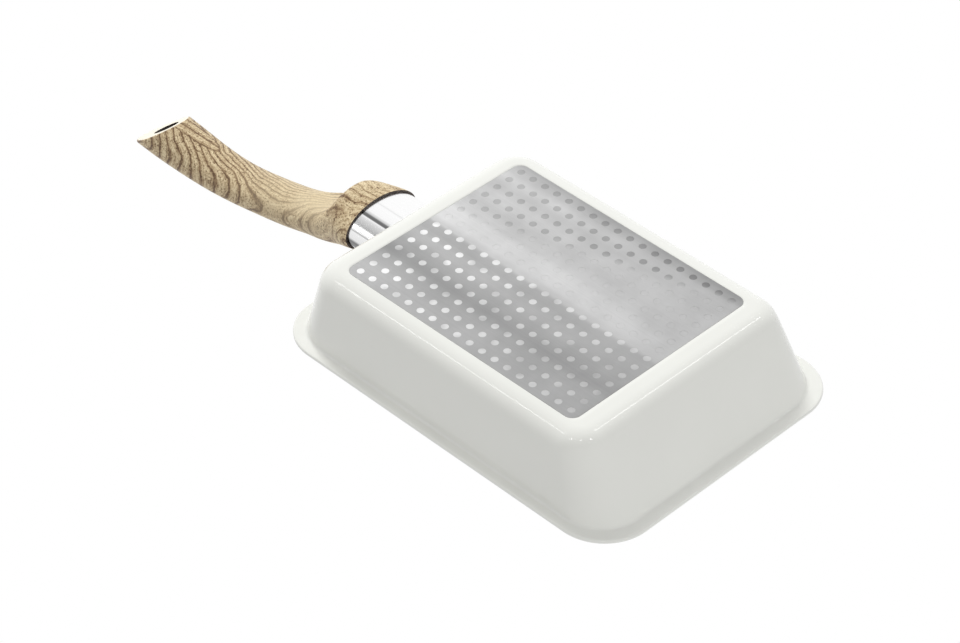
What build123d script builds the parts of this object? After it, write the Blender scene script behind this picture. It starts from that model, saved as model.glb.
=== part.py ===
from build123d import *
import os
from math import cos, radians, sin, tan

# Egg frying pan, millimetres. The base stands on Z = 0 with the origin at its centre,
# the rim faces +Z, the handle points along -X and the slanted turning wall is at +X.

# Tray: sharp outline of the underside, before its edges are rounded
base_handle_end = -78.6
base_turning_end = 79.2
base_width = 126.0
base_corner_radius = 14.0
base_edge_radius = 10.5
# Draft of the walls from vertical, in degrees: sides, handle end and turning end
side_draft = 9.7
handle_end_draft = 15.0
turning_end_draft = 30.9
wall_thickness = 2.6
floor_thickness = 4.2
inner_edge_radius = 8.0

# Lip: the flat rim that turns outwards round the tray
lip_length = 200.0
lip_width = 148.4
lip_offset = 6.7
lip_corner_radius = 23.7
lip_thickness = 1.8
lip_edge_radius = 0.8
rim_height = 37.0
wall_corner_radius = 20.5
lip_crease_radius = 1.5
inner_rim_radius = 1.5

# Perforated steel plate, pressed into the underside
plate_length = 134.2
plate_width = 106.0
plate_corner_radius = 4.5
plate_thickness = 0.8
plate_recess = 0.1
hole_rows = 14
hole_columns = 18
hole_pitch_across = 7.47
hole_pitch_along = 7.31
hole_diameter = 3.5
stud_gap = 0.05

# Ferrule: oval polished sleeve between the wall and the handle
ferrule_half_width = 20.2
ferrule_half_height = 9.8
ferrule_wall = 0.7
ferrule_depth_in_collar = 4.5
ferrule_gap_to_wall = 0.3
handle_height = 22.0

# Lug: cast boss inside the ferrule, with the blind hole of the handle's screw
lug_half_width = 13.0
lug_half_height = 6.5
lug_hole_depth = 20.0

# Handle: collar's slanted front edge, oblique tail and hanging hole
collar_front = -101.5
collar_slant = 11.0
tail_x = -253.0
tail_height = 52.3
tail_angle = 37.3
hanging_hole_diameter = 12.0
hanging_hole_x = -250.5
tail_edge_radius = 0.8

# Finger stop: a hollow across the handle's underside, behind the collar
hollow_x = -148.5
hollow_height = 2.8
hollow_radius = 31.3

# Sections across the handle: place along X, top, bottom, widest level, half width
handle_sections = [
    (-94.0, 31.0, 11.4, 21.5, 21.4),
    (-101.0, 33.2, 11.2, 22.0, 21.3),
    (-106.5, 36.0, 11.0, 23.0, 20.8),
    (-112.0, 39.2, 10.8, 24.6, 19.2),
    (-118.0, 42.6, 11.4, 27.5, 17.2),
    (-124.0, 45.6, 17.8, 31.0, 15.6),
    (-130.0, 47.8, 25.6, 34.8, 14.4),
    (-139.0, 50.2, 30.2, 38.8, 13.2),
    (-153.0, 53.6, 36.2, 44.8, 12.4),
    (-170.0, 57.6, 40.4, 49.0, 11.9),
    (-190.0, 61.3, 44.4, 52.8, 11.8),
    (-210.0, 63.7, 45.9, 54.8, 12.1),
    (-230.0, 64.4, 44.1, 54.3, 12.7),
    (-250.0, 64.3, 41.6, 52.9, 12.9),
    (-275.0, 64.2, 40.4, 52.3, 12.7),
]

# Screw, M5, and its washers, threads plain
screw_diameter = 4.8
screw_hole_diameter = 5.0
screw_end_gap = 1.0
handle_hole_diameter = 5.5
screw_head_diameter = 8.6
screw_head_height = 3.4
screw_head_edge_radius = 1.0
screw_socket_width = 3.0
screw_socket_depth = 2.0
washer_outer_diameter = 9.6
washer_inner_diameter = 5.3
flat_washer_thickness = 1.0
spring_washer_thickness = 1.3
spring_washer_slit = 0.8
spring_washer_slit_angle = 20.0
counterbore_diameter = 10.4
seat_x = -114.5

# Length by which a cutting solid runs past what it cuts
overrun = 1.0

# Worked out from the dimensions above
lip_underside = rim_height - lip_thickness
pocket_floor_x = collar_front - ferrule_depth_in_collar
lug_hole_end_x = pocket_floor_x + lug_hole_depth
collar_width = 2 * max(half_width for _, _, _, _, half_width in handle_sections)


def tray_outline(height, inset):
    """Rounded rectangle of the tray at a height, moved in from the outer wall."""
    handle_end = base_handle_end - height * tan(radians(handle_end_draft)) + inset
    turning_end = base_turning_end + height * tan(radians(turning_end_draft)) - inset
    half_width = base_width / 2 + height * tan(radians(side_draft)) - inset
    share = height / lip_underside
    radius = base_corner_radius + share * (wall_corner_radius - base_corner_radius) - inset / 2
    place = Pos((handle_end + turning_end) / 2, 0, height)
    return place * RectangleRounded(turning_end - handle_end, 2 * half_width, radius)


def tray_block(low, high, inset, edge_radius):
    """Tapered block between two heights, with its lower edges rounded."""
    block = loft([tray_outline(low, inset), tray_outline(high, inset)], ruled=True)
    return fillet(block.faces().sort_by(Axis.Z)[0].edges(), edge_radius)


def oval(half_width, half_height, x):
    """Upright oval face across the handle's axis."""
    return Pos(0, 0, handle_height) * (Plane.YZ.offset(x) * Ellipse(half_width, half_height))


def oval_bar(half_width, half_height, start, end):
    """Oval bar along X from start to end."""
    return extrude(oval(half_width, half_height, start), amount=end - start, dir=(1, 0, 0))


def bar_along_x(diameter, start, end):
    """Round bar on the screw's axis from start to end."""
    middle = (start + end) / 2
    return Pos(middle, 0, handle_height) * Rot(0, 90, 0) * Cylinder(diameter / 2, abs(end - start))


def hole_places():
    """Centres of the plate's round holes."""
    return GridLocations(hole_pitch_along, hole_pitch_across, hole_columns, hole_rows)


def pan_body():
    """Die-cast tray with its lip, its plate recess and the handle's lug."""
    lip = Pos(lip_offset, 0, lip_underside) * RectangleRounded(lip_length, lip_width, lip_corner_radius)
    lip = extrude(lip, amount=lip_thickness)
    lip = fillet(lip.edges().filter_by(Plane.XY), lip_edge_radius)
    tray = tray_block(0, rim_height, 0, base_edge_radius)
    shell = tray + lip
    shell = fillet(new_edges(tray, lip, combined=shell), lip_crease_radius)
    cavity = tray_block(floor_thickness, rim_height + overrun, wall_thickness, inner_edge_radius)
    open_shell = shell - cavity
    open_shell = fillet(new_edges(shell, cavity, combined=open_shell), inner_rim_radius)
    lug = oval_bar(lug_half_width, lug_half_height, pocket_floor_x, base_handle_end) - cavity
    recess = extrude(RectangleRounded(plate_length, plate_width, plate_corner_radius),
                     amount=plate_recess + plate_thickness)
    hole = bar_along_x(screw_hole_diameter, pocket_floor_x, lug_hole_end_x)
    return open_shell + lug - recess - hole


def induction_plate():
    """Ferritic steel sheet with round holes."""
    outline = RectangleRounded(plate_length, plate_width, plate_corner_radius)
    sheet = outline - hole_places() * Circle(hole_diameter / 2)
    return Pos(0, 0, plate_recess) * extrude(sheet, amount=plate_thickness)


def plate_studs():
    """Body metal that fills the plate's holes."""
    studs = Sketch() + hole_places() * Circle(hole_diameter / 2 - stud_gap)
    return Pos(0, 0, plate_recess) * extrude(studs, amount=plate_thickness)


def ferrule():
    """Oval sleeve, cut to the wall's slant at the pan's end."""
    outside = oval_bar(ferrule_half_width, ferrule_half_height, pocket_floor_x, base_handle_end)
    inside = oval_bar(ferrule_half_width - ferrule_wall, ferrule_half_height - ferrule_wall,
                      pocket_floor_x, base_handle_end)
    wall = loft([tray_outline(0, -ferrule_gap_to_wall),
                 tray_outline(lip_underside, -ferrule_gap_to_wall)], ruled=True)
    return outside - inside - wall


def handle_section(x, top, bottom, widest, half_width):
    """Face across the handle: an upper and a lower half oval."""
    upper = EllipticalCenterArc((0, widest), half_width, top - widest, 0, arc_size=180)
    lower = EllipticalCenterArc((0, widest), half_width, widest - bottom, 180, arc_size=180)
    return Plane.YZ.offset(x) * make_face([upper, lower])


def handle_grip():
    """Moulded handle with its collar, finger stop, screw seat and hanging hole."""
    grip = loft([handle_section(*section) for section in handle_sections])
    front = Plane((collar_front, 0, handle_height), x_dir=(0, 1, 0),
                  z_dir=(cos(radians(collar_slant)), 0, -sin(radians(collar_slant))))
    tail = Plane((tail_x, 0, tail_height), x_dir=(0, 1, 0),
                 z_dir=(-sin(radians(tail_angle)), 0, -cos(radians(tail_angle))))
    grip = split(grip, front, Keep.BOTTOM)
    grip = split(grip, tail, Keep.BOTTOM)
    grip = fillet(grip.faces().sort_by(Axis.X)[0].edges(), tail_edge_radius)
    cut_length = 2 * collar_width
    hollow = Pos(hollow_x, 0, hollow_height) * Rot(90, 0, 0) * Cylinder(hollow_radius, cut_length)
    hanging_hole = Pos(hanging_hole_x, 0, tail_height) * Cylinder(hanging_hole_diameter / 2, cut_length)
    pocket = oval_bar(ferrule_half_width, ferrule_half_height, pocket_floor_x, base_handle_end)
    screw_hole = bar_along_x(handle_hole_diameter, pocket_floor_x, seat_x)
    counterbore = bar_along_x(counterbore_diameter, seat_x, hollow_x)
    return grip - hollow - hanging_hole - pocket - screw_hole - counterbore


def ring_washer(thickness, start):
    """Flat ring on the screw's axis, reaching back from start."""
    disc = bar_along_x(washer_outer_diameter, start - thickness, start)
    return disc - bar_along_x(washer_inner_diameter, start - thickness, start)


def flat_washer():
    """Plain washer on the phenolic seat."""
    return ring_washer(flat_washer_thickness, seat_x)


def spring_washer():
    """Split washer, drawn flat as it is when tight."""
    ring = ring_washer(spring_washer_thickness, seat_x - flat_washer_thickness)
    slit = Pos(seat_x - flat_washer_thickness, 0, handle_height + washer_outer_diameter / 2)
    slit = slit * Rot(0, 0, spring_washer_slit_angle)
    return ring - slit * Box(washer_outer_diameter, spring_washer_slit, washer_outer_diameter / 2)


def handle_screw():
    """Round-headed screw with a hexagon socket."""
    head_x = seat_x - flat_washer_thickness - spring_washer_thickness
    head = bar_along_x(screw_head_diameter, head_x - screw_head_height, head_x)
    head = fillet(head.edges().sort_by(Axis.X)[0], screw_head_edge_radius)
    shank = bar_along_x(screw_diameter, head_x, lug_hole_end_x - screw_end_gap)
    socket = Plane.YZ.offset(head_x - screw_head_height) * RegularPolygon(screw_socket_width / 2, 6)
    socket = Pos(0, 0, handle_height) * extrude(socket, amount=screw_socket_depth)
    return head + shank - socket


parts = {
    "pan_body": pan_body,
    "induction_plate": induction_plate,
    "plate_studs": plate_studs,
    "ferrule": ferrule,
    "handle_grip": handle_grip,
    "handle_screw": handle_screw,
    "spring_washer": spring_washer,
    "flat_washer": flat_washer,
}

os.makedirs("parts", exist_ok=True)
for name, make in parts.items():
    export_step(make(), f"parts/{name}.step")
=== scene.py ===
from math import cos, pi, radians, sin, sqrt, tan

import bmesh
import bpy
from mathutils import Matrix, Vector


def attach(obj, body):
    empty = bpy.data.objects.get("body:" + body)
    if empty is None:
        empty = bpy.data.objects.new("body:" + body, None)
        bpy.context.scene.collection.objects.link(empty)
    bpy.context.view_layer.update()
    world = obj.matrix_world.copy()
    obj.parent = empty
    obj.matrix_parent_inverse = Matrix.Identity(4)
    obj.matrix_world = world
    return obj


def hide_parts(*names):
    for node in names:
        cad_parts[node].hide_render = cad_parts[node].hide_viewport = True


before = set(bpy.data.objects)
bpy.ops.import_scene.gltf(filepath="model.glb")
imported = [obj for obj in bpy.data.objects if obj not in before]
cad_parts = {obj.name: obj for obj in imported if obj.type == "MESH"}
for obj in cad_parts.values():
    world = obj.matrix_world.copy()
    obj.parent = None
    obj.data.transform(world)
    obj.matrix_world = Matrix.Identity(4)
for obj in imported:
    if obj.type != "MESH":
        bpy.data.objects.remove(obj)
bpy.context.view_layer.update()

# Pan body: a single aluminium die casting, a shallow tray whose rim turns out into a flat lip.
# Its underside has a shallow bed for the steel plate, and a lug at the handle's end takes the screw.
# It is sprayed inside and out with a warm white enamel, baked on, that rounds every edge a little.

base_handle_end = 0.0786
base_turning_end = 0.0792
base_half_width = 0.063
handle_end_draft = radians(15.0)
turning_end_draft = radians(30.9)
side_draft = radians(9.7)
base_corner_radius = 0.014
base_edge_radius = 0.0105
wall_corner_radius = 0.0205
wall_thickness = 0.0026
floor_height = 0.0042
floor_edge_radius = 0.008

lip_handle_end = 0.0933
lip_turning_end = 0.1067
lip_half_width = 0.0742
lip_corner_radius = 0.0237
lip_edge_radius = 0.0008
lip_underside = 0.0352
rim_height = 0.037
lip_crease_radius = 0.0015

plate_half_length = 0.0671
plate_half_width = 0.053
plate_corner_radius = 0.0045
plate_bed_depth = 0.0009
bed_edge_radius = 0.00025
floor_middle = ([0.01, 0.01, 0.008], 0.004, [floor_height] * 3)

# The rounded edges' sweep, a little past the end of the steepest wall's arc.
edge_sweep = radians(81.0)

lug_half_width = 0.013
lug_half_height = 0.0065
lug_hole_radius = 0.0025
lug_end = -0.106
lug_hole_end = -0.086
handle_height = 0.022

enamel_colour = (0.86, 0.865, 0.82)
pebble_height = 0.00001

walls = [
    (base_handle_end, handle_end_draft),
    (base_turning_end, turning_end_draft),
    (base_half_width, side_draft),
]


def wall_distance(foot, draft, height, edge_radius):
    """How far out a sloping wall is at a height above its foot, with the foot's edge rounded."""
    if height >= edge_radius * (1 - sin(draft)):
        return foot + height * tan(draft)
    centre = foot + edge_radius * (tan(draft) - 1 / cos(draft))
    return centre + sqrt(edge_radius ** 2 - (edge_radius - height) ** 2)


def outline_radius(height):
    """Corner radius of the outer wall, before the foot's edge is rounded."""
    share = height / lip_underside
    return base_corner_radius + share * (wall_corner_radius - base_corner_radius)


def outer_ring(height):
    """Outline of the outer wall: three distances, a corner radius and three heights."""
    out = [wall_distance(foot, draft, height, base_edge_radius) for foot, draft in walls]
    rounded_off = base_half_width + height * tan(side_draft) - out[2]
    return out, outline_radius(height) - rounded_off, [height] * 3


def inner_ring(height):
    """Outline of the inner wall and its rounded meeting with the floor."""
    above = height - floor_height
    feet = [foot - wall_thickness + floor_height * tan(draft) for foot, draft in walls]
    out = [wall_distance(foot, draft, above, floor_edge_radius) for foot, (_, draft) in zip(feet, walls)]
    rounded_off = feet[2] + above * tan(side_draft) - out[2]
    return out, outline_radius(height) - wall_thickness / 2 - rounded_off, [height] * 3


def turned_ring(share, top, inset):
    """Outline on the arc that joins a wall to a level face at height top; share 0 is the wall's end."""
    centre_height = top - lip_crease_radius
    out = []
    heights = []
    for foot, draft in walls:
        angle = draft + share * (pi / 2 - draft)
        centre = foot - inset + centre_height * tan(draft) + lip_crease_radius / cos(draft)
        out.append(centre - lip_crease_radius * cos(angle))
        heights.append(centre_height + lip_crease_radius * sin(angle))
    grown = out[2] - (base_half_width - inset + centre_height * tan(side_draft))
    return out, outline_radius(centre_height) - inset / 2 + grown, heights


def lip_ring(inset, height):
    """Outline of the lip, drawn in by inset."""
    out = [lip_handle_end - inset, lip_turning_end - inset, lip_half_width - inset]
    return out, lip_corner_radius - inset, [height] * 3


def bed_ring(inset, height):
    """Outline of the plate's bed, drawn in by inset."""
    out = [plate_half_length - inset, plate_half_length - inset, plate_half_width - inset]
    return out, plate_corner_radius - inset, [height] * 3


def between(ring_a, ring_b, share):
    """Outline part of the way from one ring to another."""
    out = [a + share * (b - a) for a, b in zip(ring_a[0], ring_b[0])]
    heights = [a + share * (b - a) for a, b in zip(ring_a[2], ring_b[2])]
    return out, ring_a[1] + share * (ring_b[1] - ring_a[1]), heights


def ring_points(ring, straight_steps=16, corner_steps=20):
    """Points of a ring, anticlockwise from the middle of the turning end."""
    (handle_out, turning_out, side_out), radius, (handle_z, turning_z, side_z) = ring
    half = []
    for i in range(straight_steps):
        half.append((turning_out, (side_out - radius) * i / straight_steps, turning_z))
    for i in range(corner_steps):
        angle = pi / 2 * i / corner_steps
        height = turning_z + (side_z - turning_z) * sin(angle) ** 2
        half.append((turning_out - radius * (1 - cos(angle)), side_out - radius * (1 - sin(angle)), height))
    straight = handle_out + turning_out - 2 * radius
    for i in range(2 * straight_steps):
        half.append((turning_out - radius - straight * i / (2 * straight_steps), side_out, side_z))
    for i in range(corner_steps):
        angle = pi / 2 * i / corner_steps
        height = side_z + (handle_z - side_z) * sin(angle) ** 2
        half.append((-handle_out + radius * (1 - sin(angle)), side_out - radius * (1 - cos(angle)), height))
    for i in range(straight_steps + 1):
        half.append((-handle_out, (side_out - radius) * (1 - i / straight_steps), handle_z))
    mirrored = [(x, -y, z) for x, y, z in reversed(half[1:-1])]
    return [Vector(point) for point in half + mirrored]


def add_tube(mesh, loops):
    """Joins loops of points, one after another, into a skin, and closes its ends."""
    rows = [[mesh.verts.new(point) for point in loop] for loop in loops]
    for row, following in zip(rows, rows[1:]):
        for i in range(len(row)):
            j = (i + 1) % len(row)
            mesh.faces.new((row[i], row[j], following[j], following[i]))
    mesh.faces.new(list(reversed(rows[0])))
    mesh.faces.new(rows[-1])


def finished(mesh, name, material):
    """Turns a bmesh into an object at the origin with outward normals."""
    bmesh.ops.remove_doubles(mesh, verts=mesh.verts, dist=1e-7)
    bmesh.ops.recalc_face_normals(mesh, faces=mesh.faces)
    data = bpy.data.meshes.new(name)
    mesh.to_mesh(data)
    mesh.free()
    for polygon in data.polygons:
        polygon.use_smooth = True
    data.materials.append(material)
    piece = bpy.data.objects.new(name, data)
    bpy.context.scene.collection.objects.link(piece)
    return piece


def new_material(name):
    """A node material, with its tree and its Principled BSDF."""
    material = bpy.data.materials.new(name)
    material.use_nodes = True
    return material, material.node_tree, material.node_tree.nodes["Principled BSDF"]


def node(tree, kind, inputs=None, **settings):
    """A shader or geometry node with its settings, and its plain inputs by name or number."""
    made = tree.nodes.new(kind)
    for key, value in settings.items():
        setattr(made, key, value)
    for socket, value in (inputs or {}).items():
        made.inputs[socket].default_value = value
    return made


def new_shader_group(name, numbers, result_kind="NodeSocketFloat", with_height=True):
    """A shader node group from a vector and named numbers to a tone, with its two end nodes."""
    group = bpy.data.node_groups.new(name, "ShaderNodeTree")
    group.interface.new_socket("Vector", in_out="INPUT", socket_type="NodeSocketVector")
    for label, start in numbers:
        group.interface.new_socket(label, in_out="INPUT", socket_type="NodeSocketFloat").default_value = start
    group.interface.new_socket("Tone", in_out="OUTPUT", socket_type=result_kind)
    if with_height:
        group.interface.new_socket("Height", in_out="OUTPUT", socket_type="NodeSocketFloat")
    return group, group.nodes.new("NodeGroupInput"), group.nodes.new("NodeGroupOutput")


def use_group(tree, group, vector_socket, **numbers):
    """Places a shader node group, with its numbers set by their names in small letters."""
    made = node(tree, "ShaderNodeGroup", node_tree=group)
    for name, value in numbers.items():
        made.inputs[name.replace("_", " ").title()].default_value = value
    tree.links.new(vector_socket, made.inputs["Vector"])
    return made


def make_mottle_group():
    """Slow change of tone and a fine pebbled height, for coats and moulded skins."""
    group, start, end = new_shader_group(
        "mottle", [("Cloud Scale", 30.0), ("Pebble Scale", 700.0), ("Depth", 0.05)])
    cloud = node(group, "ShaderNodeTexNoise", inputs={"Detail": 3.0, "Roughness": 0.5})
    pebble = node(group, "ShaderNodeTexNoise", inputs={"Detail": 2.0, "Roughness": 0.6})
    tone = node(group, "ShaderNodeMapRange", inputs={"From Min": 0.3, "From Max": 0.7, "To Max": 1.0})
    low = node(group, "ShaderNodeMath", operation="SUBTRACT", inputs={0: 1.0})
    for texture, scale in ((cloud, "Cloud Scale"), (pebble, "Pebble Scale")):
        group.links.new(start.outputs["Vector"], texture.inputs["Vector"])
        group.links.new(start.outputs[scale], texture.inputs["Scale"])
    group.links.new(cloud.outputs["Fac"], tone.inputs["Value"])
    group.links.new(start.outputs["Depth"], low.inputs[1])
    group.links.new(low.outputs[0], tone.inputs["To Min"])
    group.links.new(tone.outputs["Result"], end.inputs["Tone"])
    group.links.new(pebble.outputs["Fac"], end.inputs["Height"])
    return group


mottle = make_mottle_group()


def object_place(tree):
    """Object coordinates."""
    return node(tree, "ShaderNodeTexCoord").outputs["Object"]


def multiplied(tree, first, second):
    """One colour times another, each a socket or a plain colour."""
    mix = node(tree, "ShaderNodeMix", data_type="RGBA", blend_type="MULTIPLY", inputs={0: 1.0})
    for name, value in (("A", first), ("B", second)):
        if isinstance(value, tuple):
            mix.inputs[name].default_value = (*value, 1.0)
        else:
            tree.links.new(value, mix.inputs[name])
    return mix.outputs["Result"]


def bump(tree, shader, height_socket, distance, strength):
    """Feeds a height, through a Bump node, to the shader's normal."""
    made = node(tree, "ShaderNodeBump", inputs={"Strength": strength, "Distance": distance})
    tree.links.new(height_socket, made.inputs["Height"])
    tree.links.new(made.outputs["Normal"], shader.inputs["Normal"])


def mottled_skin(tree, shader, colour, cloud_scale, pebble_scale, depth, bumpiness):
    """Gives a shader a slightly uneven colour and a fine pebbled surface."""
    mottled = use_group(tree, mottle, object_place(tree),
                        cloud_scale=cloud_scale, pebble_scale=pebble_scale, depth=depth)
    tree.links.new(multiplied(tree, colour, mottled.outputs["Tone"]), shader.inputs["Base Color"])
    bump(tree, shader, mottled.outputs["Height"], pebble_height, bumpiness)


def enamel_material():
    """Warm white enamel: glossy, with a faint orange peel."""
    material, tree, shader = new_material("warm_white_enamel")
    mottled_skin(tree, shader, enamel_colour, cloud_scale=26.0, pebble_scale=900.0, depth=0.025,
                 bumpiness=0.15)
    shader.inputs["Roughness"].default_value = 0.45
    shader.inputs["Specular IOR Level"].default_value = 0.2
    shader.inputs["Coat Weight"].default_value = 1.0
    shader.inputs["Coat Roughness"].default_value = 0.03
    return material


def oval_loop(half_width, half_height, x, steps=48):
    """Points of an upright oval round the handle's axis."""
    angles = [2 * pi * i / steps for i in range(steps)]
    return [Vector((x, half_width * cos(a), handle_height + half_height * sin(a))) for a in angles]


def pan_body_rings():
    """Every ring of the casting's skin, from the plate's bed over the lip to the cooking floor."""
    bed_levels = [(bed_edge_radius, plate_bed_depth), (0, plate_bed_depth), (0, bed_edge_radius)]
    rings = [bed_ring(inset, height) for inset, height in bed_levels]
    foot = outer_ring(0)
    bed_edge = bed_ring(-bed_edge_radius, 0)
    rings += [between(bed_edge, foot, share) for share in (0, 0.35, 0.7, 0.94)]
    arc_steps = 16
    for i in range(arc_steps + 1):
        rings.append(outer_ring(base_edge_radius * (1 - cos(edge_sweep * i / arc_steps))))
    crease_start = lip_underside - lip_crease_radius
    last = base_edge_radius * (1 - cos(edge_sweep))
    wall_steps = 12
    for i in range(1, wall_steps):
        rings.append(outer_ring(last + (crease_start - last) * i / wall_steps))
    crease_steps = 7
    crease = [turned_ring(i / crease_steps, lip_underside, 0) for i in range(crease_steps + 1)]
    rings += crease
    lip_start = lip_ring(lip_edge_radius, lip_underside)
    rings += [between(crease[-1], lip_start, share) for share in (0.08, 0.5, 0.92)]
    edge_steps = 6
    quarter = [pi / 2 * i / edge_steps for i in range(edge_steps + 1)]
    arc = [(lip_edge_radius * (1 - sin(angle)), lip_edge_radius * (1 - cos(angle))) for angle in quarter]
    rings += [lip_ring(inset, lip_underside + rise) for inset, rise in arc]
    rings += [lip_ring(inset, rim_height - drop) for drop, inset in arc]
    rim = [turned_ring(1 - i / crease_steps, rim_height, wall_thickness) for i in range(crease_steps + 1)]
    lip_top = lip_ring(lip_edge_radius, rim_height)
    rings += [between(lip_top, rim[0], share) for share in (0.08, 0.5, 0.92)]
    rings += rim
    top = rim_height - lip_crease_radius
    curve_top = floor_height + floor_edge_radius * (1 - cos(edge_sweep))
    for i in range(1, wall_steps + 1):
        rings.append(inner_ring(top + (curve_top - top) * i / wall_steps))
    for i in range(1, arc_steps + 1):
        swept = edge_sweep * (1 - i / arc_steps)
        rings.append(inner_ring(floor_height + floor_edge_radius * (1 - cos(swept))))
    floor_edge = rings[-1]
    rings += [between(floor_edge, floor_middle, share) for share in (0.03, 0.3, 0.6, 1.0)]
    return rings


def make_pan_body():
    """The casting: tray and lip in one skin, and the handle's lug."""
    mesh = bmesh.new()
    add_tube(mesh, [ring_points(ring) for ring in pan_body_rings()])
    face = oval_loop(lug_half_width, lug_half_height, lug_end)
    root = []
    for point in face:
        wall = wall_distance(base_handle_end, handle_end_draft, point.z, base_edge_radius)
        root.append(Vector((wall_thickness / 2 - wall, point.y, point.z)))
    hole = [oval_loop(lug_hole_radius, lug_hole_radius, x) for x in (lug_end, lug_hole_end)]
    add_tube(mesh, [root, face] + hole)
    return finished(mesh, "pan_casting", enamel_material())


pan = make_pan_body()
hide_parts("pan_body")
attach(pan, "root")

# Induction plate: a punched sheet of ferritic steel, laid in the die before the aluminium is cast.
# The cast metal comes up through its holes and holds it, and both are then ground flush.
# The grinding belt leaves fine lines along the pan, which draw the light out into long bands: painted
# reflection here.

# Greys of the painted reflection bands at either end, each at its share of the way across from -Y.
handle_end_reflection_bands = [
    (0.0, 0.50), (0.05, 0.60), (0.10, 0.72), (0.16, 0.63), (0.23, 0.70), (0.30, 0.62), (0.36, 0.68),
    (0.41, 0.80), (0.48, 0.80), (0.515, 0.68), (0.54, 0.50), (0.57, 0.47), (0.64, 0.55), (0.71, 0.46),
    (0.78, 0.38), (0.85, 0.49), (0.92, 0.55), (1.0, 0.55)]
turning_end_reflection_bands = [
    (0.0, 0.34), (0.03, 0.40), (0.07, 0.51), (0.22, 0.55), (0.38, 0.56), (0.44, 0.60), (0.52, 0.58),
    (0.545, 0.46), (0.64, 0.445), (0.78, 0.375), (0.85, 0.41), (1.0, 0.43)]
reflection_band_sway = 0.006


def make_brushed_group():
    """Fine straight scratches along X, as a tone and a height."""
    group, start, end = new_shader_group("brushed", [("Along", 6.0), ("Across", 1500.0), ("Depth", 0.1)])
    stretch = node(group, "ShaderNodeCombineXYZ")
    scaled = node(group, "ShaderNodeVectorMath", operation="MULTIPLY")
    scratch = node(group, "ShaderNodeTexNoise", inputs={"Scale": 1.0, "Detail": 4.0, "Roughness": 0.6})
    low = node(group, "ShaderNodeMath", operation="SUBTRACT", inputs={0: 1.0})
    tone = node(group, "ShaderNodeMapRange", inputs={"From Min": 0.25, "From Max": 0.75, "To Max": 1.0})
    group.links.new(start.outputs["Along"], stretch.inputs["X"])
    group.links.new(start.outputs["Across"], stretch.inputs["Y"])
    group.links.new(start.outputs["Across"], stretch.inputs["Z"])
    group.links.new(start.outputs["Vector"], scaled.inputs[0])
    group.links.new(stretch.outputs[0], scaled.inputs[1])
    group.links.new(scaled.outputs[0], scratch.inputs["Vector"])
    group.links.new(start.outputs["Depth"], low.inputs[1])
    group.links.new(low.outputs[0], tone.inputs["To Min"])
    group.links.new(scratch.outputs["Fac"], tone.inputs["Value"])
    group.links.new(tone.outputs["Result"], end.inputs["Tone"])
    group.links.new(scratch.outputs["Fac"], end.inputs["Height"])
    return group


brushed = make_brushed_group()


def grey_ramp(tree, stops, interpolation="EASE"):
    """A colour ramp of greys from (position, grey) stops."""
    ramp = node(tree, "ShaderNodeValToRGB")
    ramp.color_ramp.interpolation = interpolation
    elements = ramp.color_ramp.elements
    while len(elements) < len(stops):
        elements.new(0.5)
    for element, (position, grey) in zip(elements, stops):
        element.position = position
        element.color = (grey, grey, grey, 1.0)
    return ramp


def number(tree, operation, first, second=0.0, third=0.0):
    """A Math node on sockets or plain numbers, and its output."""
    made = node(tree, "ShaderNodeMath", operation=operation)
    for slot, value in enumerate((first, second, third)):
        if isinstance(value, (int, float)):
            made.inputs[slot].default_value = value
        else:
            tree.links.new(value, made.inputs[slot])
    return made.outputs[0]


def object_axes(tree):
    """Object coordinates, whole and split."""
    place = object_place(tree)
    axes = node(tree, "ShaderNodeSeparateXYZ")
    tree.links.new(place, axes.inputs[0])
    return place, axes.outputs["X"], axes.outputs["Y"], axes.outputs["Z"]


def step_between(tree, value, low, high, start=0.0, end=1.0):
    """A smooth step of a socket from low to high."""
    made = node(tree, "ShaderNodeMapRange", interpolation_type="SMOOTHSTEP",
                inputs={"From Min": low, "From Max": high, "To Min": start, "To Max": end})
    tree.links.new(value, made.inputs["Value"])
    return made.outputs["Result"]


def noise(tree, vector, scale, detail=2.0, roughness=0.5):
    """The grey output of a Noise texture."""
    made = node(tree, "ShaderNodeTexNoise", inputs={"Scale": scale, "Detail": detail, "Roughness": roughness})
    tree.links.new(vector, made.inputs["Vector"])
    return made.outputs["Fac"]


def blend(tree, factor, first, second):
    """A colour between two, each a socket or a plain colour."""
    made = node(tree, "ShaderNodeMix", data_type="RGBA")
    for name, value in (("A", first), ("B", second)):
        if isinstance(value, tuple):
            made.inputs[name].default_value = (*value, 1.0)
        else:
            tree.links.new(value, made.inputs[name])
    tree.links.new(factor, made.inputs["Factor"])
    return made.outputs["Result"]


def share_between(tree, value, half):
    """How far a place is from minus half to plus half, as a share."""
    return number(tree, "DIVIDE", number(tree, "ADD", value, half), 2 * half)


def make_painted_reflection_bands_group():
    """Painted reflection: long soft bands of light and dark along the ground face, stronger at the handle's
    end.
    """
    group, start, end = new_shader_group("painted_reflection_bands", [], "NodeSocketColor", with_height=False)
    place = start.outputs["Vector"]
    axes = node(group, "ShaderNodeSeparateXYZ")
    group.links.new(place, axes.inputs[0])
    sway = number(group, "SUBTRACT", noise(group, place, 16.0, 1.0), 0.5)
    swayed = number(group, "MULTIPLY_ADD", sway, reflection_band_sway, axes.outputs["Y"])
    ends = []
    for painted_bands in (handle_end_reflection_bands, turning_end_reflection_bands):
        ramp = grey_ramp(group, painted_bands)
        group.links.new(share_between(group, swayed, plate_half_width), ramp.inputs["Fac"])
        ends.append(ramp.outputs["Color"])
    painted_bands = blend(group, share_between(group, axes.outputs["X"], plate_half_length), *ends)
    cloud = step_between(group, noise(group, place, 38.0, 3.0, 0.6), 0.3, 0.7, 0.93, 1.05)
    group.links.new(multiplied(group, painted_bands, cloud), end.inputs["Tone"])
    return group


painted_reflection_bands = make_painted_reflection_bands_group()


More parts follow.
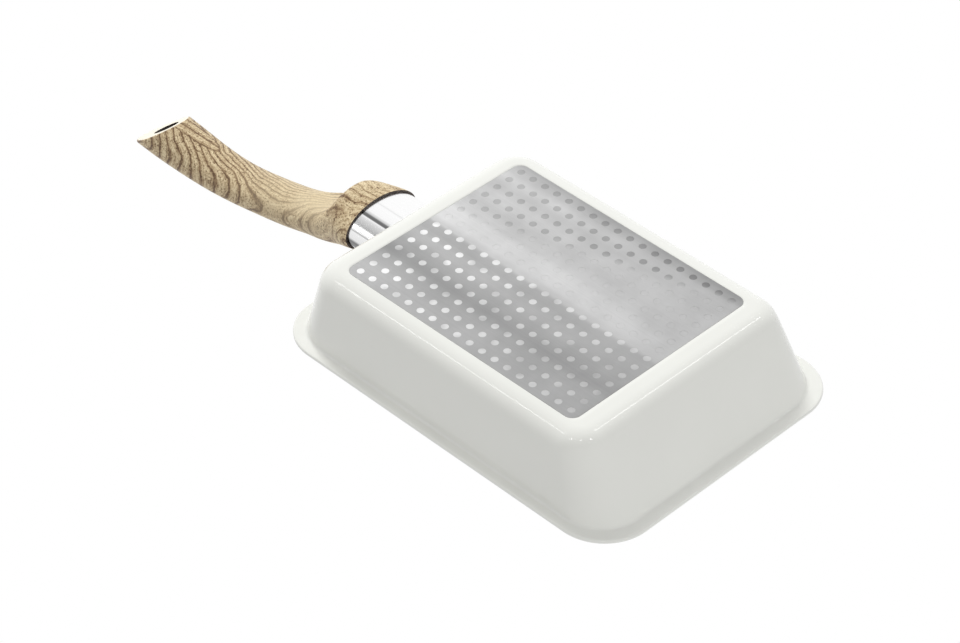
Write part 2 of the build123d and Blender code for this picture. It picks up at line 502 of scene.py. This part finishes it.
def plate_material():
    """Belt-ground steel, its colour painted with long soft bands of reflection."""
    material, tree, shader = new_material("ground_steel")
    place = object_place(tree)
    scratches = use_group(tree, brushed, place, along=7.0, across=1700.0, depth=0.07)
    painted_bands = use_group(tree, painted_reflection_bands, place).outputs["Tone"]
    tree.links.new(multiplied(tree, painted_bands, scratches.outputs["Tone"]), shader.inputs["Base Color"])
    bump(tree, shader, scratches.outputs["Height"], 0.00001, 0.3)
    shader.inputs["Metallic"].default_value = 1.0
    shader.inputs["Roughness"].default_value = 0.42
    return material


def dress(node_name, material):
    """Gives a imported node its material."""
    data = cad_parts[node_name].data
    data.materials.clear()
    data.materials.append(material)


dress("induction_plate", plate_material())

# Studs: the body's own aluminium, come up through the plate's holes and ground off level with it.
# There are 252, in 14 rows of 18, each 3.5 mm across with a fine dark line where it meets the steel.
# The soft metal takes a smoother face than the steel does; its brighter and duller look is painted
# reflection.

stud_columns = 18
stud_rows = 14
stud_pitch_along = 0.00731
stud_pitch_across = 0.00747
stud_radius = 0.00174
stud_face_height = 0.0001
stud_root_height = 0.0009
stud_chamfer = 0.00003
stud_sides = 20

# Where the aluminium is painted brighter than the steel, and where duller, by its place across the pan:
# painted reflection.
painted_light_from, painted_light_to = 0.000, 0.005
painted_shade_from, painted_shade_to = -0.026, -0.034
painted_shade_slant = 0.32


def stud_material():
    """Ground aluminium with painted reflection: brighter than the steel on one side, duller on the other, and
    lost between.
    """
    material, tree, shader = new_material("ground_aluminium")
    place, x, y, _ = object_axes(tree)
    along = share_between(tree, x, plate_half_length)
    uneven = step_between(tree, noise(tree, place, 85.0, 1.0), 0.35, 0.55, 0.45, 1.0)
    painted_light = number(tree, "MULTIPLY", number(tree, "MULTIPLY_ADD", along, -0.76, 1.05), uneven)
    painted_light = number(tree, "MULTIPLY", painted_light, step_between(tree, y, painted_light_from, painted_light_to))
    slanted = number(tree, "MULTIPLY_ADD", x, painted_shade_slant, y)
    painted_shade = number(tree, "MULTIPLY_ADD", along, -0.24, -0.2)
    painted_shade = number(tree, "MULTIPLY", painted_shade, step_between(tree, slanted, painted_shade_from, painted_shade_to))
    light_and_shade_gain = number(tree, "ADD", number(tree, "ADD", painted_light, painted_shade), 1.0)
    mottled = use_group(tree, mottle, place, cloud_scale=420.0, pebble_scale=1500.0, depth=0.06)
    painted_bands = use_group(tree, painted_reflection_bands, place).outputs["Tone"]
    colour = multiplied(tree, multiplied(tree, painted_bands, mottled.outputs["Tone"]), light_and_shade_gain)
    tree.links.new(colour, shader.inputs["Base Color"])
    bump(tree, shader, mottled.outputs["Height"], pebble_height, 0.15)
    shader.inputs["Metallic"].default_value = 1.0
    shader.inputs["Roughness"].default_value = 0.4
    return material


def one_stud():
    """A single stud at the origin, ground flat, with a fine chamfer round its face."""
    mesh = bmesh.new()
    profile = [(share, stud_face_height) for share in (0.35, 0.7, 0.94, 0.965)]
    profile += [(1.0, stud_face_height + stud_chamfer), (1.0, stud_root_height)]
    angles = [2 * pi * i / stud_sides for i in range(stud_sides)]
    loops = []
    for share, height in profile:
        radius = stud_radius * share
        loops.append([Vector((radius * cos(angle), radius * sin(angle), height)) for angle in angles])
    add_tube(mesh, loops)
    return finished(mesh, "stud_pattern", stud_material())


def stud_grid_tree(pattern, material):
    """Geometry nodes that set one stud at every hole of the plate."""
    tree = bpy.data.node_groups.new("stud_grid", "GeometryNodeTree")
    for name, start in (("Columns", stud_columns), ("Rows", stud_rows)):
        tree.interface.new_socket(name, in_out="INPUT", socket_type="NodeSocketInt").default_value = start
    for name, start in (("Pitch Along", stud_pitch_along), ("Pitch Across", stud_pitch_across)):
        tree.interface.new_socket(name, in_out="INPUT", socket_type="NodeSocketFloat").default_value = start
    tree.interface.new_socket("Geometry", in_out="OUTPUT", socket_type="NodeSocketGeometry")
    start = tree.nodes.new("NodeGroupInput")
    end = tree.nodes.new("NodeGroupOutput")
    grid = tree.nodes.new("GeometryNodeMeshGrid")
    for count, pitch, axis in (("Columns", "Pitch Along", "X"), ("Rows", "Pitch Across", "Y")):
        gaps = number(tree, "SUBTRACT", start.outputs[count], 1.0)
        reach = number(tree, "MULTIPLY", gaps, start.outputs[pitch])
        tree.links.new(reach, grid.inputs["Size " + axis])
        tree.links.new(start.outputs[count], grid.inputs["Vertices " + axis])
    shape = node(tree, "GeometryNodeObjectInfo", inputs={"Object": pattern})
    turn = node(tree, "FunctionNodeRandomValue", data_type="FLOAT_VECTOR",
                inputs={"Max": (0.0, 0.0, 2 * pi), "Seed": 7})
    setting = tree.nodes.new("GeometryNodeInstanceOnPoints")
    real = tree.nodes.new("GeometryNodeRealizeInstances")
    painted = node(tree, "GeometryNodeSetMaterial", inputs={"Material": material})
    tree.links.new(grid.outputs["Mesh"], setting.inputs["Points"])
    tree.links.new(shape.outputs["Geometry"], setting.inputs["Instance"])
    tree.links.new(turn.outputs["Value"], setting.inputs["Rotation"])
    tree.links.new(setting.outputs["Instances"], real.inputs["Geometry"])
    tree.links.new(real.outputs["Geometry"], painted.inputs["Geometry"])
    tree.links.new(painted.outputs["Geometry"], end.inputs["Geometry"])
    return tree


def grown(tree, name):
    """Runs a geometry node tree and keeps its result as a plain mesh object."""
    holder = bpy.data.objects.new(name + "_holder", bpy.data.meshes.new(name + "_holder"))
    bpy.context.scene.collection.objects.link(holder)
    modifier = holder.modifiers.new("grow", "NODES")
    modifier.node_group = tree
    for item in tree.interface.items_tree:
        if item.item_type == "SOCKET" and item.in_out == "INPUT" and item.socket_type != "NodeSocketGeometry":
            modifier[item.identifier] = item.default_value
    bpy.context.view_layer.update()
    evaluated = holder.evaluated_get(bpy.context.evaluated_depsgraph_get())
    data = bpy.data.meshes.new_from_object(evaluated)
    data.name = name
    holder.modifiers.clear()
    bpy.data.objects.remove(holder)
    piece = bpy.data.objects.new(name, data)
    bpy.context.scene.collection.objects.link(piece)
    return piece


pattern = one_stud()
studs = grown(stud_grid_tree(pattern, pattern.data.materials[0]), "stud_faces")
bpy.data.objects.remove(pattern)
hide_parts("plate_studs")
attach(studs, "root")

# Ferrule: an oval sleeve of thin stainless tube, polished bright, that bridges the pan and the handle.
# One end is cut to the slope of the pan's wall and the other goes a few millimetres into the collar.
# The screw pulls the handle up against it.

ferrule_half_width = 0.0202
ferrule_half_height = 0.0098

# Greys of painted reflection round the tube, each at its share of a turn from +Y by way of +Z.
ferrule_reflection_bands = [
    (0.000, 0.26), (0.028, 0.17), (0.036, 0.90), (0.120, 0.92), (0.180, 0.45), (0.215, 0.40),
    (0.225, 0.95), (0.300, 0.95), (0.310, 0.20), (0.330, 0.20), (0.342, 0.93), (0.470, 0.62),
    (0.520, 1.00), (0.752, 1.00), (0.757, 0.84), (0.763, 1.00), (0.805, 0.96), (0.817, 0.60),
    (0.821, 0.17), (0.832, 0.16), (0.836, 0.93), (0.846, 0.72), (0.884, 0.42), (0.896, 0.88),
    (0.914, 0.90), (0.920, 0.30), (0.925, 0.88), (0.968, 0.80), (0.985, 0.22), (1.000, 0.22)]
polish_height = 0.000002


def ferrule_material():
    """Polished stainless with lengthwise bands of painted reflection in its colour, as a buffed oval tube
    shows.
    """
    material, tree, shader = new_material("polished_stainless")
    place, _, y, z = object_axes(tree)
    lines = use_group(tree, brushed, place, along=12.0, across=900.0, depth=0.03)
    side = number(tree, "DIVIDE", y, ferrule_half_width)
    rise = number(tree, "DIVIDE", number(tree, "SUBTRACT", z, handle_height), ferrule_half_height)
    turn = number(tree, "DIVIDE", number(tree, "ARCTAN2", rise, side), 2 * pi)
    painted_bands = grey_ramp(tree, ferrule_reflection_bands, "LINEAR")
    tree.links.new(number(tree, "FRACT", turn), painted_bands.inputs["Fac"])
    colour = multiplied(tree, painted_bands.outputs["Color"], lines.outputs["Tone"])
    tree.links.new(colour, shader.inputs["Base Color"])
    bump(tree, shader, lines.outputs["Height"], polish_height, 0.1)
    shader.inputs["Metallic"].default_value = 1.0
    shader.inputs["Roughness"].default_value = 0.2
    return material


dress("ferrule", ferrule_material())

# Handle: compression-moulded phenolic, arched up from the collar, with a wood-grain film on its skin.
# The film wraps the sides and stops at the edges of the collar's mouth, the tail's cut and the holes,
# where the dark resin or the pale ground under the film shows.

collar_front = -0.1015
collar_slant = radians(11.0)
tail_x = -0.253
tail_height = 0.0523
tail_angle = radians(37.3)
hanging_hole_x = -0.2505
hanging_hole_radius = 0.006
counterbore_radius = 0.0052

film_ground_colour = (0.92, 0.87, 0.74)
resin_colour = (0.055, 0.036, 0.028)
sharp_edge_angle = radians(30.0)

# How far a face may be from a hole, a cut or the pocket and still belong to it.
zone_slack = 1.01
plane_slack = 2e-5
pocket_slack = 1e-5

# Level of the handle's widest line, for the angle round it.
handle_levels = [(-0.275, 0.0523), (-0.250, 0.0529), (-0.230, 0.0543), (-0.210, 0.0548), (-0.190, 0.0528),
                 (-0.170, 0.0490), (-0.153, 0.0448), (-0.139, 0.0388), (-0.130, 0.0348), (-0.124, 0.0310),
                 (-0.112, 0.0246), (-0.094, 0.0215)]

# How the grain moves along the handle: rising to a crest in the middle and falling to the collar.
grain_advance = [(-0.275, 0.000), (-0.250, 0.022), (-0.230, 0.042), (-0.210, 0.0610), (-0.195, 0.0740),
                 (-0.182, 0.0830), (-0.172, 0.0870), (-0.162, 0.0880), (-0.150, 0.0845), (-0.139, 0.0780),
                 (-0.128, 0.0720), (-0.118, 0.0690), (-0.094, 0.0670)]

# The grain is a height that rings are cut from at this spacing. It swings round the handle from a line
# on its +Y side, and warps in long sways and short ripples.
ring_spacing = 0.0068
swing_line = 1.48
swing_depth = 0.027
sway_depth = 0.020
ripple_depth = 0.0042
knot_place = (-0.101, 0.0212, 0.0235)
knot_radius = 0.010
knot_depth = 0.022

# The leaf: a separate patch of grain under the tail, by its place and half length along the handle,
# its place and half width in radians round it, and the width of its dark edge.
leaf_x, leaf_half_length = -0.236, 0.021
leaf_angle, leaf_half_width = -0.26, 0.50
leaf_edge_width = 0.16

# Tone across one ring, from its dark line outwards.
ring_tones = [(0.0, 0.05), (0.07, 0.12), (0.2, 0.5), (0.36, 0.74), (0.47, 0.55), (0.54, 0.78),
              (0.72, 0.7), (0.80, 0.45), (0.86, 0.62), (0.95, 0.3), (1.0, 0.05)]
calm_tone = 0.84

# Wood colours from the darkest line to the palest ground, and the neck's printed wash in painted shade round
# its sides and top and in painted light on its underside.
wood_colours = [(0.0, (0.125, 0.071, 0.034)), (0.3, (0.315, 0.21, 0.112)), (0.6, (0.57, 0.44, 0.265)),
                (1.0, (0.86, 0.73, 0.48))]
wash_shaded = (0.52, 0.43, 0.30)
wash_pale_lit = (0.76, 0.64, 0.42)


def curve(tree, along, points, scale):
    """A smooth function of one socket through (place, value) points."""
    low = points[0][0]
    high = points[-1][0]
    span = node(tree, "ShaderNodeMapRange", inputs={"From Min": low, "From Max": high})
    tree.links.new(along, span.inputs["Value"])
    made = node(tree, "ShaderNodeFloatCurve")
    line = made.mapping.curves[0]
    while len(line.points) < len(points):
        line.points.new(0.5, 0.5)
    for spot, (place, value) in zip(line.points, points):
        spot.location = ((place - low) / (high - low), value / scale)
    made.mapping.update()
    tree.links.new(span.outputs["Result"], made.inputs["Value"])
    return number(tree, "MULTIPLY", made.outputs["Value"], scale)


def added(tree, amount, scale, base):
    """A base with a scaled amount added to it."""
    return number(tree, "MULTIPLY_ADD", amount, scale, base)


def centred(tree, value):
    """A noise from 0 to 1, moved to lie evenly about nought."""
    return number(tree, "SUBTRACT", value, 0.5)


def colour_ramp(tree, stops):
    """A colour ramp from (position, colour) stops, the first at 0 and the last at 1."""
    ramp = node(tree, "ShaderNodeValToRGB")
    elements = ramp.color_ramp.elements
    elements[0].color = (*stops[0][1], 1.0)
    elements[1].color = (*stops[-1][1], 1.0)
    for position, colour in stops[1:-1]:
        elements.new(position).color = (*colour, 1.0)
    return ramp


def grain_field(tree, place, x, angle):
    """The height that the rings are cut from, and how dark the leaf's edge is."""
    swing = number(tree, "COSINE", number(tree, "SUBTRACT", angle, swing_line))
    field = number(tree, "SUBTRACT", curve(tree, x, grain_advance, 0.10),
                   number(tree, "MULTIPLY", swing, swing_depth))
    ripple = centred(tree, noise(tree, place, 150.0, 2.0))
    field = added(tree, centred(tree, noise(tree, place, 34.0, 1.0)), sway_depth, field)
    field = added(tree, ripple, ripple_depth, field)

    knot = node(tree, "ShaderNodeVectorMath", operation="DISTANCE", inputs={1: knot_place})
    tree.links.new(place, knot.inputs[0])
    near = number(tree, "POWER", number(tree, "DIVIDE", knot.outputs["Value"], knot_radius), 2.0)
    bulge = number(tree, "EXPONENT", number(tree, "MULTIPLY", near, -1.0))
    field = added(tree, bulge, knot_depth, field)

    leaf = number(tree, "MULTIPLY", ripple, 0.5)
    for value, middle, half in ((x, leaf_x, leaf_half_length), (angle, leaf_angle, leaf_half_width)):
        reach = number(tree, "DIVIDE", number(tree, "SUBTRACT", value, middle), half)
        leaf = number(tree, "ADD", leaf, number(tree, "POWER", number(tree, "ABSOLUTE", reach), 2.0))
    leaf_field = number(tree, "MULTIPLY_ADD", angle, 0.015, number(tree, "MULTIPLY", x, 0.22))
    change = number(tree, "SUBTRACT", leaf_field, field)
    field = added(tree, change, step_between(tree, leaf, 1.03, 0.97), field)
    from_edge = number(tree, "ABSOLUTE", number(tree, "SUBTRACT", leaf, 1.0))
    edge = number(tree, "SUBTRACT", 1.0, number(tree, "DIVIDE", from_edge, leaf_edge_width))
    return field, number(tree, "MAXIMUM", edge, 0.0)


def wood_print_material():
    """Film of figured wood: hooked stripes at the tail, long flowing lines at the neck."""
    material, tree, shader = new_material("wood_grain_film")
    place, x, y, z = object_axes(tree)
    level = curve(tree, x, handle_levels, 0.06)
    angle = number(tree, "ARCTAN2", y, number(tree, "SUBTRACT", level, z))
    field, leaf_edge = grain_field(tree, place, x, angle)

    rings = grey_ramp(tree, ring_tones, "LINEAR")
    ring = number(tree, "FRACT", number(tree, "DIVIDE", field, ring_spacing))
    tree.links.new(ring, rings.inputs["Fac"])
    patches = step_between(tree, noise(tree, place, 70.0, 1.0), 0.35, 0.6, 0.95, 0.45)
    calm = number(tree, "MULTIPLY", step_between(tree, x, -0.124, -0.113), patches)
    calm = number(tree, "MULTIPLY", calm, step_between(tree, angle, 0.6, -0.1, 0.35, 1.0))
    tone = added(tree, number(tree, "SUBTRACT", calm_tone, rings.outputs["Color"]), calm,
                 rings.outputs["Color"])

    grain_space = node(tree, "ShaderNodeCombineXYZ")
    for axis, value, scale in (("X", field, 1100.0), ("Y", x, 190.0), ("Z", angle, 2.4)):
        tree.links.new(number(tree, "MULTIPLY", value, scale), grain_space.inputs[axis])
    streaks = noise(tree, grain_space.outputs[0], 1.0, 3.0, 0.65)
    specks = noise(tree, place, 1150.0, 3.0, 0.75)
    pores = step_between(tree, noise(tree, place, 1100.0, 2.0), 0.56, 0.66)
    tone = added(tree, centred(tree, streaks), 1.3, tone)
    tone = added(tree, centred(tree, specks), 1.3, tone)
    tone = added(tree, pores, -0.5, tone)
    tone = added(tree, leaf_edge, -0.4, tone)
    colours = colour_ramp(tree, wood_colours)
    tree.links.new(tone, colours.inputs["Fac"])

    # Painted light and shade: the neck's printed wash is paler and stronger on the underside, which faces the
    # lamps below, and darker round the sides and top.
    lit_underside = step_between(tree, number(tree, "COSINE", angle), -0.1, 0.9, 0.45, 1.0)
    on_neck = number(tree, "MULTIPLY", step_between(tree, x, -0.205, -0.150),
                     step_between(tree, x, -0.117, -0.132))
    patches = step_between(tree, noise(tree, place, 60.0, 2.0), 0.3, 0.7, 0.35, 0.65)
    wash = number(tree, "MULTIPLY", number(tree, "MULTIPLY", on_neck, lit_underside), patches)
    pale = blend(tree, lit_underside, wash_shaded, wash_pale_lit)
    tree.links.new(blend(tree, wash, colours.outputs["Color"], pale), shader.inputs["Base Color"])
    shader.inputs["Roughness"].default_value = 0.5
    shader.inputs["Specular IOR Level"].default_value = 0.35
    return material


def plain_material(name, colour, roughness, depth):
    """A moulded or coated skin of one slightly uneven colour."""
    material, tree, shader = new_material(name)
    mottled_skin(tree, shader, colour, cloud_scale=130.0, pebble_scale=1800.0, depth=depth, bumpiness=0.2)
    shader.inputs["Roughness"].default_value = roughness
    return material


def handle_zone(point):
    """Which skin a face of the handle has: 0 the film, 1 its pale ground, 2 bare resin."""
    tail_normal = Vector((-sin(tail_angle), 0, -cos(tail_angle)))
    front_normal = Vector((cos(collar_slant), 0, -sin(collar_slant)))
    if Vector((point.x - hanging_hole_x, point.y)).length < hanging_hole_radius * zone_slack:
        return 2
    if abs((point - Vector((tail_x, 0, tail_height))).dot(tail_normal)) < plane_slack:
        return 1
    if abs((point - Vector((collar_front, 0, handle_height))).dot(front_normal)) < plane_slack:
        return 2
    rise = point.z - handle_height
    from_axis = sqrt((point.y / ferrule_half_width) ** 2 + (rise / ferrule_half_height) ** 2)
    if point.x > lug_end - pocket_slack and from_axis < zone_slack:
        return 2
    if sqrt(point.y ** 2 + rise ** 2) < counterbore_radius * zone_slack:
        return 2
    return 0


def make_handle():
    """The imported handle's skin, merged, with its faces sorted by what covers them."""
    mesh = bmesh.new()
    mesh.from_mesh(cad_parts["handle_grip"].data)
    piece = finished(mesh, "handle_skin", wood_print_material())
    piece.data.materials.append(plain_material("film_ground", film_ground_colour, 0.5, 0.04))
    piece.data.materials.append(plain_material("dark_resin", resin_colour, 0.45, 0.3))
    for polygon in piece.data.polygons:
        polygon.material_index = handle_zone(polygon.center)
    piece.data.set_sharp_from_angle(angle=sharp_edge_angle)
    return piece


handle = make_handle()
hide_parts("handle_grip")
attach(handle, "root")

# Screw and washers: a zinc-plated M5 button-head screw with a split spring washer over a flat one.
# They sit in the counterbore behind the finger stop and pull the handle and ferrule to the lug.

zinc_colour = (0.62, 0.63, 0.65)


def zinc_material():
    """Bright zinc plate, slightly cloudy."""
    material, tree, shader = new_material("zinc_plate")
    mottled_skin(tree, shader, zinc_colour, cloud_scale=220.0, pebble_scale=2500.0, depth=0.2, bumpiness=0.5)
    shader.inputs["Metallic"].default_value = 1.0
    shader.inputs["Roughness"].default_value = 0.3
    return material


zinc = zinc_material()
for fastener in ("handle_screw", "spring_washer", "flat_washer"):
    dress(fastener, zinc)

# Studio: a pale floor, seen only from above so that the pan's underside can be looked at from below,
# a white surround, and broad soft lamps above and below.

floor_half_size = 3.0
floor_drop = 0.0002
floor_grey = 0.97
floor_centre = (-0.08, 0.0, 0.0)
floor_fade_start = 0.24
floor_fade_end = 0.55

# Light from all round, beside the lamps. Reflections and the eye see the surround at full white.
ambient = 0.60

# Bright strips that the enamel's rounded edges mirror, each by where it is and which way it runs, and
# round spots that make the small flashes at the corner. Their sizes are where the light is still full
# and where it has gone.
strips = [((-0.54, 0.348, -0.766), (1, 0, 0)), ((0.09, -0.536, -0.838), (0, 1, 0))]
strip_half_width = (0.018, 0.030)
strip_half_length = (0.08, 0.12)
strip_strength = 6.0
spots = [(0.312, 0.315, -0.894), (0.522, -0.041, -0.852), (-0.045, 0.525, -0.850)]
spot_radius = (radians(2.5), radians(4.0))
spot_strength = 8.0

# Each lamp's place, the point that it looks at, its size and its power.
lamps = {
    "lamp_below": ((-3.7, -1.8, -3.8), (0.0, 0.0, 0.02), 1.8, 196.0),
    "lamp_turning_side": ((1.5, 0.35, -0.3), (0.0, 0.0, 0.02), 0.8, 3.5),
    "lamp_above": ((-0.4, -0.5, 1.3), (-0.03, 0.0, 0.02), 0.8, 8.0),
}


def floor_material():
    """Pale floor that is seen from above, fades out away from the pan and lets everything else through."""
    material, tree, shader = new_material("pale_floor")
    tree.nodes.remove(shader)
    pale = node(tree, "ShaderNodeBsdfDiffuse", inputs={"Color": (floor_grey, floor_grey, floor_grey, 1.0)})
    clear = node(tree, "ShaderNodeBsdfTransparent")
    facing = node(tree, "ShaderNodeNewGeometry")
    path = node(tree, "ShaderNodeLightPath")
    away = node(tree, "ShaderNodeVectorMath", operation="DISTANCE", inputs={1: floor_centre})
    tree.links.new(object_place(tree), away.inputs[0])
    seen = number(tree, "SUBTRACT", 1.0, facing.outputs["Backfacing"])
    seen = number(tree, "MULTIPLY", seen, path.outputs["Is Camera Ray"])
    shown = step_between(tree, away.outputs["Value"], floor_fade_end, floor_fade_start)
    mix = node(tree, "ShaderNodeMixShader")
    tree.links.new(number(tree, "MULTIPLY", seen, shown), mix.inputs["Fac"])
    tree.links.new(clear.outputs[0], mix.inputs[1])
    tree.links.new(pale.outputs[0], mix.inputs[2])
    tree.links.new(mix.outputs[0], tree.nodes["Material Output"].inputs["Surface"])
    return material


def make_floor():
    """A flat square under the pan."""
    mesh = bmesh.new()
    corners = [(-1, -1), (1, -1), (1, 1), (-1, 1)]
    points = [mesh.verts.new((x * floor_half_size, y * floor_half_size, -floor_drop)) for x, y in corners]
    mesh.faces.new(points)
    data = bpy.data.meshes.new("floor")
    mesh.to_mesh(data)
    mesh.free()
    data.materials.append(floor_material())
    made = bpy.data.objects.new("floor", data)
    bpy.context.scene.collection.objects.link(made)
    return made


make_floor()


def along_direction(tree, vector, direction):
    """How far a vector reaches along a direction."""
    made = node(tree, "ShaderNodeVectorMath", operation="DOT_PRODUCT", inputs={1: direction})
    tree.links.new(vector, made.inputs[0])
    return made.outputs["Value"]


def strip_brightness(tree, outwards, toward, run):
    """Brightness of a straight strip of the surround that runs along an axis."""
    toward = Vector(toward).normalized()
    run = Vector(run)
    aside = along_direction(tree, outwards, toward.cross(run).normalized())
    slide = number(tree, "SUBTRACT", along_direction(tree, outwards, run), toward.dot(run))
    panel = step_between(tree, along_direction(tree, outwards, toward), 0.5, 0.6, 0.0, strip_strength)
    for distance, (full, none) in ((aside, strip_half_width), (slide, strip_half_length)):
        edge = step_between(tree, number(tree, "ABSOLUTE", distance), none, full)
        panel = number(tree, "MULTIPLY", panel, edge)
    return panel


def spot_brightness(tree, outwards, toward):
    """Brightness of a round spot of the surround."""
    full, none = spot_radius
    ahead = along_direction(tree, outwards, Vector(toward).normalized())
    return step_between(tree, ahead, cos(none), cos(full), 0.0, spot_strength)


def make_surround():
    """White to the eye and in reflections, with small bright panels that only reflections show."""
    world = bpy.data.worlds.new("studio")
    world.use_nodes = True
    tree = world.node_tree
    background = tree.nodes["Background"]
    path = node(tree, "ShaderNodeLightPath")
    outwards = node(tree, "ShaderNodeTexCoord").outputs["Generated"]
    shown = number(tree, "MAXIMUM", path.outputs["Is Camera Ray"], path.outputs["Is Glossy Ray"])
    shown = number(tree, "MAXIMUM", shown, path.outputs["Is Transmission Ray"])
    strength = number(tree, "MULTIPLY_ADD", shown, 1.0 - ambient, ambient)
    panels = [strip_brightness(tree, outwards, *strip) for strip in strips]
    panels += [spot_brightness(tree, outwards, spot) for spot in spots]
    for panel in panels:
        strength = number(tree, "MULTIPLY_ADD", panel, path.outputs["Is Glossy Ray"], strength)
    tree.links.new(strength, background.inputs["Strength"])
    background.inputs["Color"].default_value = (1.0, 1.0, 1.0, 1.0)
    bpy.context.scene.world = world


make_surround()


def add_lamp(name, place, target, size, power):
    """A square soft lamp that looks at a point and that reflections don't show."""
    data = bpy.data.lights.new(name, "AREA")
    data.shape = "SQUARE"
    data.size = size
    data.energy = power
    lamp = bpy.data.objects.new(name, data)
    lamp.location = place
    lamp.visible_glossy = False
    lamp.rotation_euler = (Vector(target) - Vector(place)).to_track_quat("-Z", "Y").to_euler()
    bpy.context.scene.collection.objects.link(lamp)


for name, settings in lamps.items():
    add_lamp(name, *settings)

# Camera: below the pan and on its turning end's side, rolled until the base is up in the picture.

camera_place = (0.7164, 0.7502, -0.8635)
camera_right = Vector((0.70459, -0.70961, -0.00003))
camera_up = Vector((-0.46020, -0.45691, -0.76121))
camera_lens = 119.78

camera_data = bpy.data.cameras.new("camera")
camera_data.sensor_width = 36.0
camera_data.lens = camera_lens
camera_data.clip_start = 0.01
camera = bpy.data.objects.new("camera", camera_data)
turn = Matrix((camera_right, camera_up, camera_right.cross(camera_up))).transposed()
camera.matrix_world = Matrix.Translation(camera_place) @ turn.to_4x4()
bpy.context.scene.collection.objects.link(camera)
bpy.context.scene.camera = camera
bpy.context.scene.view_settings.view_transform = "Standard"
